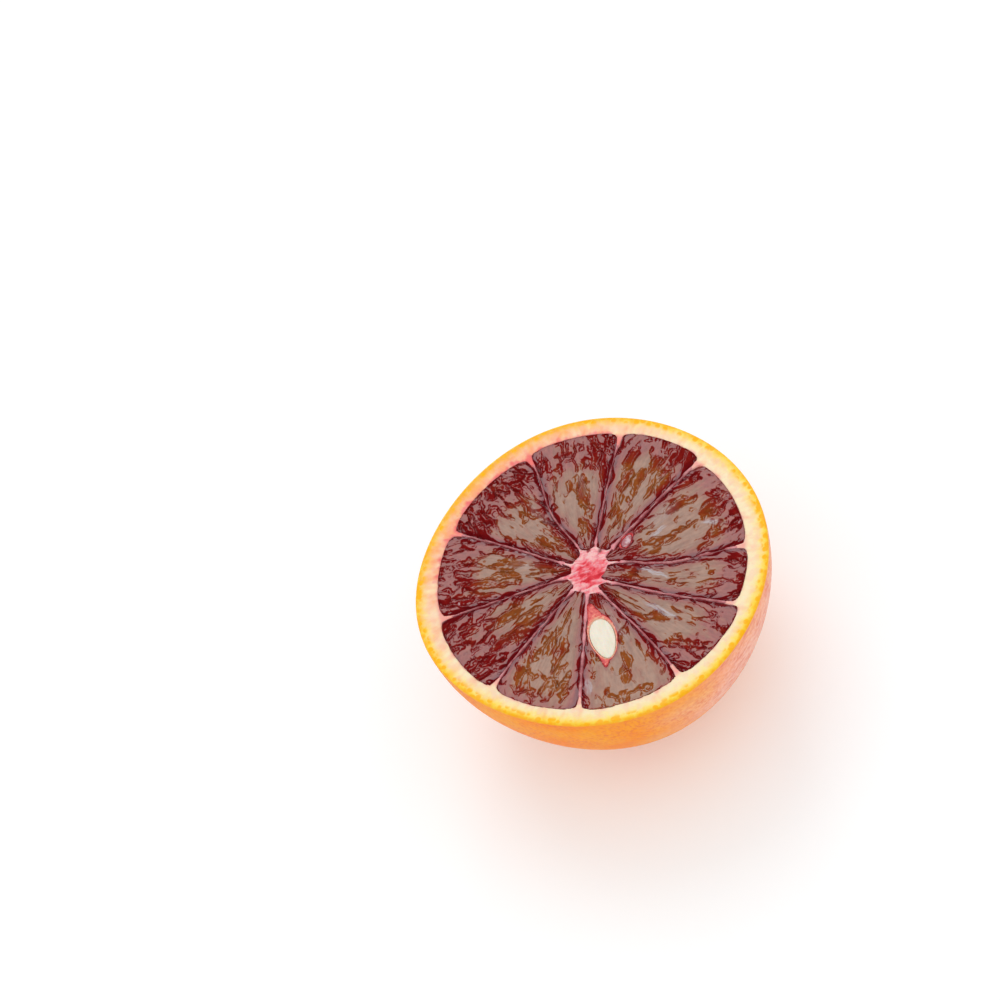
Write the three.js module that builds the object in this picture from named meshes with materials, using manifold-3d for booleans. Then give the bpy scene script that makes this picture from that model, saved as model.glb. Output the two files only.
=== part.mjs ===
// Half a blood orange, cut across its axis and lying on its rind with the cut face up.
//
// One solid holds all that has grown together: rind, pith, core and the thin walls between the
// segments. The pulp of each segment is a solid of its own that fills its pocket from the cut
// face down, and the two seeds lie in the pulp. The fruit is drawn about its own axis with the
// cut face at z = 0, and its group then lifts it onto the surface that it rests on.
// Millimetres and degrees, +Z up, origin under the middle of the fruit at the resting spot.

import * as THREE from "three";
import { mergeVertices } from "three/addons/utils/BufferGeometryUtils.js";
import Module from "manifold-3d";

// ---------------------------------------------------------------- driving dimensions

const FRUIT_RADIUS = 36.5; // mean radius of the cut face
const FRUIT_DEPTH = 37.5; // cut face down to the resting spot
const REST_SPOT_RADIUS = 7; // the rind is flat here, where the half rests
const BASE_THICKNESS = 5.4; // rind and pith under the pulp
const RIM_ROUNDING = 0.5; // the knife's edge around the rind
const PITH_DIP = 0.15; // the pith shrinks a little below the rim

// The outline is slightly squarish: waves around the axis, each with its height and its first peak.
const OUTLINE_WAVES = [
  { count: 2, height: 0.08, peakAt: 57 },
  { count: 3, height: 0.37, peakAt: 55 },
  { count: 4, height: 0.3, peakAt: 87 },
];

const WALL_START = 5.4; // the walls part from the core about this far from the axis
const CORE_DIP = { depth: 0.2, levelTo: 2.7, endsAt: 7.2 }; // the core shrinks below the cut
const CORE_TAPER = 0.55; // the core's width at the bottom, as a share of that at the cut
const WALL_THICKNESS = 0.6; // the membranes of two neighbouring segments together
const FIT_GAP = 0.3; // what fills a pocket stays this clear of it

// The walls between the segments: where each leaves the core and where it meets the pith, how
// far it bows aside halfway and sways about that, all in degrees around the axis. The segment
// that follows the wall begins tip from the axis and ends under rind and pith peel thick.
const WALLS = [
  { atCore: 24, atPith: 25, bow: 1, sway: 0, tip: 4.8, peel: 3.7 },
  { atCore: 61, atPith: 59, bow: 1, sway: 0, tip: 4.6, peel: 4.2 },
  { atCore: 97, atPith: 95, bow: 4, sway: 2.5, tip: 3.9, peel: 3.8 },
  { atCore: 144, atPith: 137, bow: -1, sway: 0, tip: 4.1, peel: 4.5 },
  { atCore: 177, atPith: 175, bow: 0, sway: 0, tip: 5.2, peel: 4 },
  { atCore: 213, atPith: 212, bow: -1, sway: 0, tip: 6, peel: 3.3 },
  { atCore: 243, atPith: 246, bow: 0, sway: 0, tip: 6.3, peel: 3.8 },
  { atCore: 265, atPith: 283, bow: 1.5, sway: 0, tip: 4.8, peel: 3.5 },
  { atCore: 294, atPith: 317, bow: -1.5, sway: -0.5, tip: 3.3, peel: 4.2 },
  { atCore: 346, atPith: 341, bow: -4.5, sway: -2.5, tip: 3.6, peel: 4.5 },
];

const PULP_EDGE_DROP = 0.55; // the pulp falls away from the cut face beside a wall
const JUICE_SAC_RELIEF = 0.22; // height of the ridges that the cut juice sacs make
const JUICE_SACS_ACROSS = 5; // ridges side by side in one segment
// The ridges drift sideways: by reach, in radians of a ridge, over this many radians of bends.
const RIDGE_DRIFT = [
  { reach: 1.3, bends: 2.4 },
  { reach: 0.6, bends: 5.1 },
];
const SWELL_SHARE = 0.35; // of the relief, what broad swells make up
const PULP_EDGE_SHARPNESS = 8; // the higher, the nearer to its wall the pulp stays level
const CORNER_ROUNDING = 0.2; // how far a segment's corners are drawn in: 0 is not at all
const CORNER_TIGHTNESS = 8; // even: the higher, the nearer to the corner the rounding starts

const LARGE_SEED = { radiusOut: 17.3, angle: 258.6, turn: 265.8, length: 9.5, width: 4.9, thickness: 4.6 };
const SMALL_SEED = { radiusOut: 9.1, angle: 15.5, turn: 40, length: 3.1, width: 1.7, thickness: 1.9 };
const SEED_TAPER = 0.16; // how much wider the blunt end is than an ellipse
const SEED_ABOVE_CUT = 0.25; // the seeds stand this far out of the shrinking pulp
const POCKET_STRETCH = 1.6; // a seed's pocket is this much taller, so that it is open at the cut

// ---------------------------------------------------------------- fineness of the surfaces

const SECTORS = 64;
const RIND_LEVELS = 11;
const CELLS_ACROSS = 10; // of one segment's cut face
const CELLS_ALONG = 7;
const PULP_LEVELS = 4;
const LEVEL_CROWDING = 1.15; // above 1, the levels lie closer together near the cut
const SEED_SIDES = 16;
const SEED_STATIONS = 12;

// ---------------------------------------------------------------- derived sizes

const MEAN_PEEL = WALLS.reduce((sum, wall) => sum + wall.peel, 0) / WALLS.length;
const FLESH_RADIUS = FRUIT_RADIUS - MEAN_PEEL;
const FLESH_DEPTH = FRUIT_DEPTH - BASE_THICKNESS;
// Depth that the rounded bottom would have if it weren't flat at the resting spot.
const ROUND_DEPTH = FRUIT_DEPTH / Math.sqrt(1 - (REST_SPOT_RADIUS / FRUIT_RADIUS) ** 2);
const DEEPEST_PULP_ANGLE = 76; // the segments end here, where they have all but met

const radians = THREE.MathUtils.degToRad;
const { lerp } = THREE.MathUtils;

const materials = {
  rind: new THREE.MeshStandardMaterial({ color: 0xf2a444, roughness: 0.45, metalness: 0 }),
  pulp: new THREE.MeshStandardMaterial({ color: 0x6f1d22, roughness: 0.2, metalness: 0 }),
  seed: new THREE.MeshStandardMaterial({ color: 0xf3ead2, roughness: 0.5, metalness: 0 }),
};

// ---------------------------------------------------------------- solids that cut and join

const wasm = await Module();
wasm.setup();

function solidOf(geometry) {
  const bare = geometry.clone();
  bare.deleteAttribute("normal");
  bare.deleteAttribute("uv");
  const merged = mergeVertices(bare);
  return new wasm.Manifold(
    new wasm.Mesh({
      numProp: 3,
      vertProperties: new Float32Array(merged.attributes.position.array),
      triVerts: new Uint32Array(merged.index.array),
    }),
  );
}

function geometryOf(solid) {
  const mesh = solid.getMesh();
  const geometry = new THREE.BufferGeometry();
  geometry.setAttribute("position", new THREE.BufferAttribute(mesh.vertProperties, 3));
  geometry.setIndex(new THREE.BufferAttribute(mesh.triVerts, 1));
  geometry.computeVertexNormals();
  return geometry;
}

function cutAway(geometry, ...tools) {
  return geometryOf(tools.reduce((solid, tool) => solid.subtract(solidOf(tool)), solidOf(geometry)));
}

// ---------------------------------------------------------------- shared outlines

// How far out the fruit's outline lies in this direction, as a share of its mean radius.
function outlineShare(angle) {
  const waves = OUTLINE_WAVES.map((w) => w.height * Math.cos(w.count * radians(angle - w.peakAt)));
  return 1 + waves.reduce((sum, height) => sum + height, 0) / FRUIT_RADIUS;
}

// A wall that ran straight in plan would change its angle with one over the radius.
function wallAngle(wall, radius) {
  const slant = (wall.atCore - wall.atPith) / (1 / WALL_START - 1 / FLESH_RADIUS);
  const straight = wall.atPith + slant * (1 / radius - 1 / FLESH_RADIUS);
  const along = THREE.MathUtils.clamp((radius - WALL_START) / (FLESH_RADIUS - WALL_START), 0, 1);
  return straight + wall.bow * Math.sin(Math.PI * along) + wall.sway * Math.sin(2 * Math.PI * along);
}

// ---------------------------------------------------------------- rind, pith, core and walls

function fruitProfile() {
  const rim = FRUIT_RADIUS - RIM_ROUNDING;
  const profile = [
    [0, -CORE_DIP.depth],
    [CORE_DIP.levelTo, -CORE_DIP.depth],
    [CORE_DIP.endsAt, 0],
    [FLESH_RADIUS, 0],
    [(FLESH_RADIUS + rim) / 2, -PITH_DIP],
    [rim, 0],
    [FRUIT_RADIUS, -RIM_ROUNDING],
  ];
  const first = Math.asin(RIM_ROUNDING / ROUND_DEPTH);
  const last = Math.acos(REST_SPOT_RADIUS / FRUIT_RADIUS);
  for (let level = 1; level <= RIND_LEVELS; level += 1) {
    const turn = lerp(first, last, level / RIND_LEVELS);
    profile.push([FRUIT_RADIUS * Math.cos(turn), -ROUND_DEPTH * Math.sin(turn)]);
  }
  profile.push([0, -FRUIT_DEPTH]);
  return profile;
}

function wholeFruitGeometry() {
  const upwards = fruitProfile().reverse();
  const points = upwards.map(([radius, height]) => new THREE.Vector2(radius, height));
  const geometry = new THREE.LatheGeometry(points, SECTORS).rotateX(Math.PI / 2);
  const position = geometry.attributes.position;
  for (let i = 0; i < position.count; i += 1) {
    const angle = THREE.MathUtils.radToDeg(Math.atan2(position.getY(i), position.getX(i)));
    const share = outlineShare(angle);
    position.setXY(i, position.getX(i) * share, position.getY(i) * share);
  }
  return geometry;
}

// ---------------------------------------------------------------- the segments

// Rounds a square's corners: (across, along) from -1 to 1 move inwards where both are large.
function roundCorners(across, along) {
  return [
    across * Math.sqrt(1 - (CORNER_ROUNDING * along ** CORNER_TIGHTNESS) / 2),
    along * Math.sqrt(1 - (CORNER_ROUNDING * across ** CORNER_TIGHTNESS) / 2),
  ];
}

// A point of a segment in plan. across runs from one wall to the next and along from core to
// pith, both from -1 to 1; turn is how far down the round bottom it is, and clear the gap kept.
function segmentPlanPoint(index, across, along, turn, clear) {
  const [a, b] = roundCorners(across, along);
  const here = WALLS[index];
  const next = WALLS[(index + 1) % WALLS.length];
  const lap = index + 1 === WALLS.length ? 360 : 0;
  const middle = (here.atPith + next.atPith + lap) / 2;
  const inner = here.tip * lerp(1, CORE_TAPER, turn / radians(90)) + clear;
  const outer = (FRUIT_RADIUS * outlineShare(middle) - here.peel) * Math.cos(turn) - clear;
  const radius = lerp(inner, outer, (b + 1) / 2);
  const beside = THREE.MathUtils.radToDeg(Math.asin((WALL_THICKNESS / 2 + clear) / radius));
  const from = wallAngle(here, radius) + beside;
  const to = wallAngle(next, radius) + lap - beside;
  const angle = radians(lerp(from, to, (a + 1) / 2));
  return [radius * Math.cos(angle), radius * Math.sin(angle)];
}

// The edge of the grid of cells, once round, as [column, row] pairs.
function gridEdge() {
  const edge = [];
  for (let i = 0; i < CELLS_ACROSS; i += 1) edge.push([i, 0]);
  for (let j = 0; j < CELLS_ALONG; j += 1) edge.push([CELLS_ACROSS, j]);
  for (let i = CELLS_ACROSS; i > 0; i -= 1) edge.push([i, CELLS_ALONG]);
  for (let j = CELLS_ALONG; j > 0; j -= 1) edge.push([0, j]);
  return edge;
}

// Long ridges that run from core to pith and wander, where the knife has opened the juice sacs.
function juiceSacRelief(index, across, along) {
  const drifts = RIDGE_DRIFT.map(({ reach, bends }) => reach * Math.sin(bends * (along + index)));
  const drift = drifts.reduce((sum, each) => sum + each, 0);
  const ridges = Math.cos(Math.PI * JUICE_SACS_ACROSS * across + drift);
  const swells = Math.sin(Math.PI * (along + index / 2)) * Math.cos(Math.PI * (across / 2 + index / 3));
  return JUICE_SAC_RELIEF * lerp(ridges, swells, SWELL_SHARE);
}

// A segment as a closed solid: its cut face is a grid of cells, and loops of the grid's edge go
// down to the bottom. height gives the z of a point of the cut face, and the loops start at
// firstLevel, where 0 is the level of the cut.
function segmentGeometry(index, clear, height, firstLevel) {
  const positions = [];
  const faces = [];
  const columns = CELLS_ACROSS + 1;
  const spread = (cell, cells) => (2 * cell) / cells - 1;
  for (let j = 0; j <= CELLS_ALONG; j += 1) {
    for (let i = 0; i <= CELLS_ACROSS; i += 1) {
      const across = spread(i, CELLS_ACROSS);
      const along = spread(j, CELLS_ALONG);
      positions.push(...segmentPlanPoint(index, across, along, 0, clear), height(across, along));
    }
  }
  for (let j = 0; j < CELLS_ALONG; j += 1) {
    for (let i = 0; i < CELLS_ACROSS; i += 1) {
      const corner = j * columns + i;
      faces.push(corner, corner + columns, corner + 1);
      faces.push(corner + 1, corner + columns, corner + columns + 1);
    }
  }
  const edge = gridEdge();
  let above = edge.map(([i, j]) => j * columns + i);
  for (let level = firstLevel; level <= PULP_LEVELS; level += 1) {
    const turn = radians(DEEPEST_PULP_ANGLE) * (level / PULP_LEVELS) ** LEVEL_CROWDING;
    const depth = (FLESH_DEPTH - clear) * Math.sin(turn);
    const below = edge.map((_, k) => positions.length / 3 + k);
    for (const [i, j] of edge) {
      const plan = segmentPlanPoint(index, spread(i, CELLS_ACROSS), spread(j, CELLS_ALONG), turn, clear);
      positions.push(...plan, -depth);
    }
    edge.forEach((_, k) => {
      const after = (k + 1) % edge.length;
      faces.push(above[k], above[after], below[k]);
      faces.push(above[after], below[after], below[k]);
    });
    above = below;
  }
  const deepest = radians(DEEPEST_PULP_ANGLE);
  const lowest = (FLESH_DEPTH - clear) * Math.sin(deepest);
  const bottom = positions.length / 3;
  positions.push(...segmentPlanPoint(index, 0, 0, deepest, clear), -lowest);
  edge.forEach((_, k) => faces.push(above[k], above[(k + 1) % edge.length], bottom));
  const geometry = new THREE.BufferGeometry();
  geometry.setAttribute("position", new THREE.Float32BufferAttribute(positions, 3));
  geometry.setIndex(faces);
  return geometry;
}

function pulpGeometry(index) {
  const height = (across, along) => {
    const edge = Math.max(Math.abs(across), Math.abs(along)) ** PULP_EDGE_SHARPNESS;
    return lerp(juiceSacRelief(index, across, along), -PULP_EDGE_DROP, edge);
  };
  return segmentGeometry(index, FIT_GAP, height, 1);
}

function pocketGeometry(index) {
  const aboveTheCut = 1;
  return segmentGeometry(index, 0, () => aboveTheCut, 0);
}

// ---------------------------------------------------------------- the seeds

// A drop of length 1: blunt at the end by the core, drawn out at the other.
function dropGeometry({ length, width, thickness }, clear) {
  const points = [];
  for (let station = 0; station <= SEED_STATIONS; station += 1) {
    const turn = (Math.PI * station) / SEED_STATIONS;
    const taper = 1 + SEED_TAPER * Math.cos(turn);
    points.push(new THREE.Vector2(Math.sin(turn) * taper * 0.5, -0.5 * Math.cos(turn)));
  }
  return new THREE.LatheGeometry(points, SEED_SIDES)
    .rotateZ(-Math.PI / 2)
    .scale(length + 2 * clear, width + 2 * clear, thickness + 2 * clear);
}

// A seed lies level in the cut face, and the knife has taken what stood above it.
function seedGeometry(seed) {
  const knife = new THREE.BoxGeometry(2 * seed.length, 2 * seed.length, seed.thickness);
  knife.translate(0, 0, SEED_ABOVE_CUT + seed.thickness / 2);
  return cutAway(dropGeometry(seed, 0), knife);
}

function seedPocket(seed) {
  const at = radians(seed.angle);
  return dropGeometry(seed, FIT_GAP)
    .scale(1, 1, POCKET_STRETCH)
    .rotateZ(radians(seed.turn))
    .translate(seed.radiusOut * Math.cos(at), seed.radiusOut * Math.sin(at), 0);
}

// ---------------------------------------------------------------- the part

function namedMesh(name, geometry, material) {
  const mesh = new THREE.Mesh(geometry, material);
  mesh.name = name;
  return mesh;
}

function seedMesh(name, seed) {
  const mesh = namedMesh(name, seedGeometry(seed), materials.seed);
  const at = radians(seed.angle);
  mesh.position.set(seed.radiusOut * Math.cos(at), seed.radiusOut * Math.sin(at), 0);
  mesh.rotation.z = radians(seed.turn);
  return mesh;
}

const fruit = new THREE.Group();

const seedPockets = [seedPocket(LARGE_SEED), seedPocket(SMALL_SEED)];
const pockets = WALLS.map((_, index) => pocketGeometry(index));
const bodyGeometry = cutAway(wholeFruitGeometry(), ...pockets, ...seedPockets);
fruit.add(namedMesh("rind_and_pith", bodyGeometry, materials.rind));

WALLS.forEach((_, index) => {
  const name = `segment_${String(index + 1).padStart(2, "0")}`;
  fruit.add(namedMesh(name, cutAway(pulpGeometry(index), ...seedPockets), materials.pulp));
});

fruit.add(seedMesh("seed_large", LARGE_SEED), seedMesh("seed_small", SMALL_SEED));

// The uneven outline is centred over the origin, and the fruit stands on its resting spot.
bodyGeometry.computeBoundingBox();
const middle = bodyGeometry.boundingBox.getCenter(new THREE.Vector3());
fruit.position.set(-middle.x, -middle.y, FRUIT_DEPTH);

const part = new THREE.Group();
part.add(fruit);

export default part;
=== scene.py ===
"""Looks of half a blood orange that lies on its rind with its cut face up.

Shapes are worked out in millimetres about the fruit's own axis, with the cut face at z = 0, from
the same sizes as the solids. Each piece is then put where its solid is, in metres.
"""

import math

import bpy
import numpy as np
from mathutils import Matrix, Vector
from mathutils.kdtree import KDTree


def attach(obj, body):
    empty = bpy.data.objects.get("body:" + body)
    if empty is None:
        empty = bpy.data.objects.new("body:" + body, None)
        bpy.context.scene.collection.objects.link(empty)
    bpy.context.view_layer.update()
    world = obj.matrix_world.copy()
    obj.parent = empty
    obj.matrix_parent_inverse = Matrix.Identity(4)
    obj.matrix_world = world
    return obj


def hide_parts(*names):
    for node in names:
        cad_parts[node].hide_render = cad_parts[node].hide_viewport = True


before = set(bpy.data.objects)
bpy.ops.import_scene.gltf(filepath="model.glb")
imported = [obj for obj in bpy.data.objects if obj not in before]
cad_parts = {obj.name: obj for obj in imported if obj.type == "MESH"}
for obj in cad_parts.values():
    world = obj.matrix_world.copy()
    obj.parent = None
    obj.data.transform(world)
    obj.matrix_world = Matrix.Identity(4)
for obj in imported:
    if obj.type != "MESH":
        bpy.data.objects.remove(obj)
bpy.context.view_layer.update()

MM = 0.001
NORTH = 90  # degrees; angles run anticlockwise from +X, seen from above
PEEL = "rind_and_pith"  # the solid of rind, pith, core and walls, and their slot

# -------- sizes shared with the solids

FRUIT_RADIUS = 36.5
FRUIT_DEPTH = 37.5
REST_SPOT_RADIUS = 7.0
BASE_THICKNESS = 5.4
RIM_ROUNDING = 0.5
OUTLINE_WAVES = ((2, 0.08, 57), (3, 0.37, 55), (4, 0.3, 87))  # count, height, first peak
WALL_START = 5.4
CORE_TAPER = 0.55
WALL_THICKNESS = 0.6
WALL_SHOWN = 0.3  # of a wall's thickness, between the swollen pulp on both sides
CORNER_ROUNDING = 0.2
CORNER_TIGHTNESS = 8
# at the core, at the pith, bow, sway, then tip and peel of the segment that follows the wall
WALLS = (
    (24, 25, 1, 0, 4.8, 3.7),
    (61, 59, 1, 0, 4.6, 4.2),
    (97, 95, 4, 2.5, 3.9, 3.8),
    (144, 137, -1, 0, 4.1, 4.5),
    (177, 175, 0, 0, 5.2, 4),
    (213, 212, -1, 0, 6, 3.3),
    (243, 246, 0, 0, 6.3, 3.8),
    (265, 283, 1.5, 0, 4.8, 3.5),
    (294, 317, -1.5, -0.5, 3.3, 4.2),
    (346, 341, -4.5, -2.5, 3.6, 4.5),
)
SEGMENTS = len(WALLS)
MEAN_PEEL = sum(wall[5] for wall in WALLS) / SEGMENTS
FLESH_RADIUS = FRUIT_RADIUS - MEAN_PEEL
FLESH_DEPTH = FRUIT_DEPTH - BASE_THICKNESS
ROUND_DEPTH = FRUIT_DEPTH / math.sqrt(1 - (REST_SPOT_RADIUS / FRUIT_RADIUS) ** 2)
MEAN_RADIUS = (FRUIT_RADIUS + FRUIT_DEPTH) / 2
DEEPEST_PULP_ANGLE = 76

# Each seed: how far out and in which direction it lies, its long axis, and its size.
LARGE_SEED = {"out": 17.3, "angle": 258.6, "turn": 265.8, "length": 9.5, "width": 4.9, "depth": 2.3}
SMALL_SEED = {"out": 9.1, "angle": 15.5, "turn": 40, "length": 3.1, "width": 1.7, "depth": 0.95}
SEED_TAPER = 0.16


# -------- smooth steps and noise


def smooth(value, low, high):
    share = np.clip((value - low) / (high - low), 0, 1)
    return share * share * (3 - 2 * share)


def mix(first, second, share):
    return first + (second - first) * share


def turned_from(degrees, towards):
    """Degrees from one direction round to another, from -180 to 180."""
    return (degrees - towards + 180) % 360 - 180


def hashed(column, row, seed):
    """A repeatable number from 0 to 1 for each cell of a grid."""
    value = (column * 374761393 + row * 668265263 + seed * 974711) & 0xFFFFFFFF
    value = ((value ^ (value >> 13)) * 1274126177) & 0xFFFFFFFF
    return ((value ^ (value >> 16)) & 0xFFFFFF) / 0xFFFFFF


def noise(x, y, seed):
    """Gradient noise, from about -1 to 1, with cells of size 1."""
    column = np.floor(x).astype(np.int64)
    row = np.floor(y).astype(np.int64)
    right = x - column
    up = y - row
    corners = []
    for i, j in ((0, 0), (1, 0), (0, 1), (1, 1)):
        turn = 2 * np.pi * hashed(column + i, row + j, seed)
        corners.append(np.cos(turn) * (right - i) + np.sin(turn) * (up - j))
    ease_right = right**3 * (right * (6 * right - 15) + 10)
    ease_up = up**3 * (up * (6 * up - 15) + 10)
    low = mix(corners[0], corners[1], ease_right)
    high = mix(corners[2], corners[3], ease_right)
    return 1.5 * mix(low, high, ease_up)


def rough_noise(x, y, seed):
    total = 0
    for octave in range(3):
        scale = 2**octave
        total = total + noise(x * scale, y * scale, seed + octave) / scale
    return total


# -------- outlines of the cut face


def polar(radius, degrees):
    turn = np.radians(degrees)
    return radius * np.cos(turn), radius * np.sin(turn)


def outline_radius(degrees):
    waves = [height * np.cos(count * np.radians(degrees - peak)) for count, height, peak in OUTLINE_WAVES]
    return FRUIT_RADIUS + sum(waves)


def wall_angle(index, radius):
    at_core, at_pith, bow, sway = WALLS[index % SEGMENTS][:4]
    slant = (at_core - at_pith) / (1 / WALL_START - 1 / FLESH_RADIUS)
    straight = at_pith + slant * (1 / radius - 1 / FLESH_RADIUS)
    along = np.clip((radius - WALL_START) / (FLESH_RADIUS - WALL_START), 0, 1)
    angle = straight + bow * np.sin(np.pi * along) + sway * np.sin(2 * np.pi * along)
    return angle + 360 * (index // SEGMENTS)


def round_corners(across, along):
    return (
        across * np.sqrt(1 - CORNER_ROUNDING * along**CORNER_TIGHTNESS / 2),
        along * np.sqrt(1 - CORNER_ROUNDING * across**CORNER_TIGHTNESS / 2),
    )


def segment_reach(index):
    """The pulp of a segment at the cut runs from the first radius to the second."""
    lap = 360 * ((index + 1) // SEGMENTS)
    middle = (WALLS[index][1] + WALLS[(index + 1) % SEGMENTS][1] + lap) / 2
    return WALLS[index][4], outline_radius(middle) - WALLS[index][5]


def segment_plan(index, across, along, turn=0.0, clear=0.0, wall=WALL_SHOWN):
    """A segment in plan, as its solid has it: across and along run from -1 to 1."""
    across, along = round_corners(across, along)
    inner, outer = segment_reach(index)
    inner = inner * mix(1, CORE_TAPER, turn / (np.pi / 2)) + clear
    outer = outer * np.cos(turn) - clear
    radius = mix(inner, outer, (along + 1) / 2)
    beside = np.degrees(np.arcsin((wall / 2 + clear) / radius))
    start = wall_angle(index, radius) + beside
    end = wall_angle(index + 1, radius) - beside
    return polar(radius, mix(start, end, (across + 1) / 2))


def fruit_centre():
    """The middle of the uneven outline, from the fruit's axis."""
    x, y = polar(outline_radius(np.arange(360.0)), np.arange(360.0))
    return (x.max() + x.min()) / 2, (y.max() + y.min()) / 2


CENTRE_X, CENTRE_Y = fruit_centre()
FACE_CENTRE = Vector((-CENTRE_X, -CENTRE_Y, FRUIT_DEPTH)) * MM


# -------- how far a point is from the pulp

EDGE_STEPS = 500


def tree_of(places):
    tree = KDTree(len(places))
    for number, place in enumerate(places):
        tree.insert(place, number)
    tree.balance()
    return tree


def square_loop(steps):
    """Points once round the square from -1 to 1. In plan they run clockwise round a segment."""
    side = np.linspace(-1, 1, steps, endpoint=False)
    ones = np.ones(steps)
    across = np.concatenate([side, ones, -side, -ones])
    along = np.concatenate([-ones, side, ones, -side])
    return across, along


def pulp_edges():
    """A tree of points on the edges of all segments, with the outward direction at each."""
    across, along = square_loop(EDGE_STEPS)
    places, outwards = [], []
    for index in range(SEGMENTS):
        edge = np.stack(segment_plan(index, across, along), axis=1)
        step = np.roll(edge, -1, axis=0) - np.roll(edge, 1, axis=0)
        step /= np.linalg.norm(step, axis=1, keepdims=True)
        places.append(edge)
        outwards.append(np.stack([-step[:, 1], step[:, 0]], axis=1))
    places = np.concatenate(places)
    return tree_of([(x, y, 0) for x, y in places]), places, np.concatenate(outwards)


PULP_EDGE_TREE, PULP_EDGE_PLACES, PULP_EDGE_OUTWARDS = pulp_edges()


def outside_pulp(x, y):
    """Distance from the nearest edge of pulp, negative where there is pulp."""
    flat = np.stack([np.ravel(x), np.ravel(y)], axis=1)
    nearest = np.array([PULP_EDGE_TREE.find((px, py, 0))[1] for px, py in flat])
    away = flat - PULP_EDGE_PLACES[nearest]
    side = np.sign(np.sum(away * PULP_EDGE_OUTWARDS[nearest], axis=1))
    return (side * np.linalg.norm(away, axis=1)).reshape(np.shape(x))


# How far the skin of a seed's chamber stands off the seed: everywhere, and then more around some
# directions, each as (extra, degrees from the seed's outer end, spread in degrees).
LARGE_CHAMBER = (0.2, ((2.0, -25, 15), (0.8, 180, 42), (3.2, 186, 17), (0.3, 130, 30)))
SMALL_CHAMBER = (0.22, ((0.9, 0, 30), (0.5, 180, 40)))


def chamber_growth(turn, chamber):
    growth, bulges = chamber
    for extra, towards, spread in bulges:
        away = turned_from(np.degrees(turn), towards)
        growth = growth + extra * np.exp(-((away / spread) ** 2))
    return growth


def along_axis(x, y, cx, cy, degrees):
    """How far points lie along an axis from a centre, and how far beside it."""
    turn = math.radians(degrees)
    along = (x - cx) * math.cos(turn) + (y - cy) * math.sin(turn)
    beside = (y - cy) * math.cos(turn) - (x - cx) * math.sin(turn)
    return along, beside


def seed_distance(x, y, seed):
    """About how far points are outside a seed's drop-shaped outline, and in which direction."""
    half_length, half_width = seed["length"] / 2, seed["width"] / 2
    along, beside = along_axis(x, y, *polar(seed["out"], seed["angle"]), seed["turn"])
    along = along / half_length
    beside = beside / half_width / (1 - SEED_TAPER * np.clip(along, -1, 1))
    turn = np.arctan2(beside, along)
    reach = np.hypot(half_length * np.cos(turn), half_width * np.sin(turn))
    return (np.hypot(along, beside) - 1) * reach, turn


# -------- making a piece


def add_object(name, data):
    made = bpy.data.objects.new(name, data)
    bpy.context.scene.collection.objects.link(made)
    return made


def add_piece(name, points, faces, material, replaced, values):
    """A mesh piece from points in millimetres, with the fruit's axis and the cut face at 0.
    Each of the values that its look follows is given for the first points, and 0 at the rest."""
    mesh = bpy.data.meshes.new(name)
    placed = np.asarray(points) * MM + np.array(FACE_CENTRE)
    mesh.from_pydata(placed.tolist(), [], faces)
    for key, given in values.items():
        given = np.ravel(given)
        value = np.zeros(len(placed), dtype=np.float32)
        value[: given.size] = given
        mesh.attributes.new(key, "FLOAT", "POINT").data.foreach_set("value", value)
    mesh.shade_smooth()
    mesh.materials.append(material)
    piece = add_object(name, mesh)
    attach(piece, "root")
    if replaced:
        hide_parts(replaced)


def row_of(x, y, height):
    """Points in a row, at one height or at a height each."""
    return np.stack(np.broadcast_arrays(x, y, height), axis=1)


def grid_faces(rows, columns, rings=False, tube=False):
    """Faces between the rows of a grid, whose rows are rings and whose last row joins the first if
    asked. They face up where rows run outwards and columns anticlockwise."""
    faces = []
    for row in range(rows if tube else rows - 1):
        low, high = row * columns, (row + 1) % rows * columns
        for column in range(columns if rings else columns - 1):
            after = (column + 1) % columns
            faces.append((low + column, high + column, high + after, low + after))
    return faces


def fan(centre, ring, outward_up):
    """Triangles from a ring of points to one centre point."""
    pairs = zip(ring, np.roll(ring, -1))
    if outward_up:
        return [(centre, int(a), int(b)) for a, b in pairs]
    return [(centre, int(b), int(a)) for a, b in pairs]


def capped_faces(rows, columns):
    """Faces of stacked rings that close in two centre points, which come after the rings: one for
    the first ring and one for the last."""
    ring = np.arange(columns)
    faces = grid_faces(rows, columns, rings=True)
    faces += fan(rows * columns, ring, outward_up=True)
    faces += fan(rows * columns + 1, ring + (rows - 1) * columns, outward_up=False)
    return faces


# -------- node materials


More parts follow.
